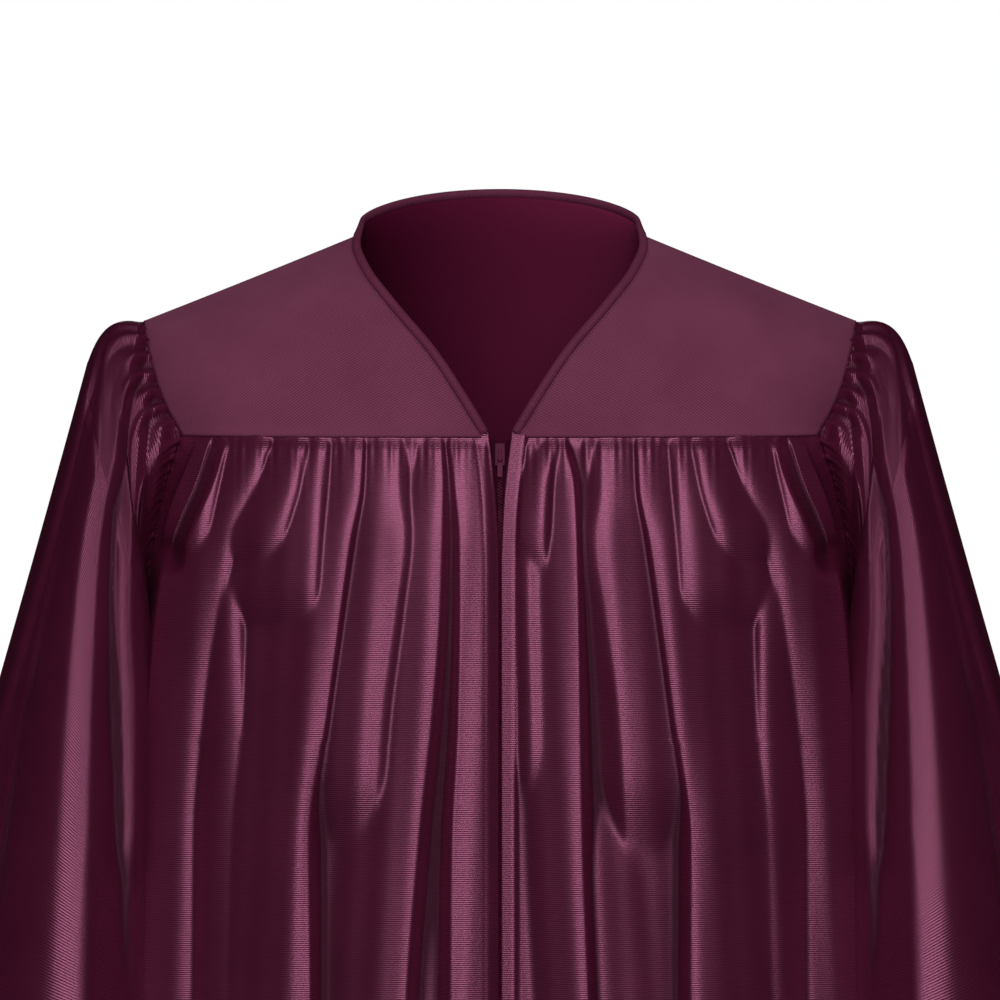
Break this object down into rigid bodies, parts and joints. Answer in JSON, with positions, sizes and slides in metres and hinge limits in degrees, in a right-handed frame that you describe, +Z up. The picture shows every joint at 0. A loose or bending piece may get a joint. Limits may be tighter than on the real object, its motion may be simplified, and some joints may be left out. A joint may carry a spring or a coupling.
{
  "type": "choir robe",
  "caption": "Full-length satin choir robe, filled out as worn: smooth shoulder yokes, gathered fronts and back, wide bell sleeves, V-neck with a rolled binding and a front zip.",
  "frame": {"origin": "on the shoulders, midway between the two points where the neck edge meets the shoulder seams, where the wearer's shoulders hold the robe", "axes": "+Z up, the front and its zip towards -Y, the wearer's left towards +X"},
  "size_m": [0.8662, 0.5137, 1.4043],
  "materials": {
    "satin": "shiny maroon satin with fine cross ribs",
    "yoke_satin": "dull side of the same satin, fine diagonal twill",
    "zip_tape": "dark woven tape",
    "painted_zip": "maroon enamel"
  },
  "bodies": {
    "robe": {"back": "satin", "front_left": "satin", "front_right": "satin", "neck_binding": "satin", "sleeve_left": "satin", "sleeve_right": "satin", "yoke_back": "yoke_satin", "yoke_front_left": "yoke_satin", "yoke_front_right": "yoke_satin", "zip_slider": "painted_zip", "zip_tape_left": "zip_tape", "zip_tape_right": "zip_tape"},
    "zip_pull": {"zip_pull": "painted_zip"}
  },
  "joints": [
    {"name": "pull_tab_hinge", "type": "hinge", "parent": "robe", "child": "zip_pull", "pos_m": [0, -0.10275, -0.14674], "axis": [-1, 0, 0], "range_deg": [0, 130]}
  ]
}
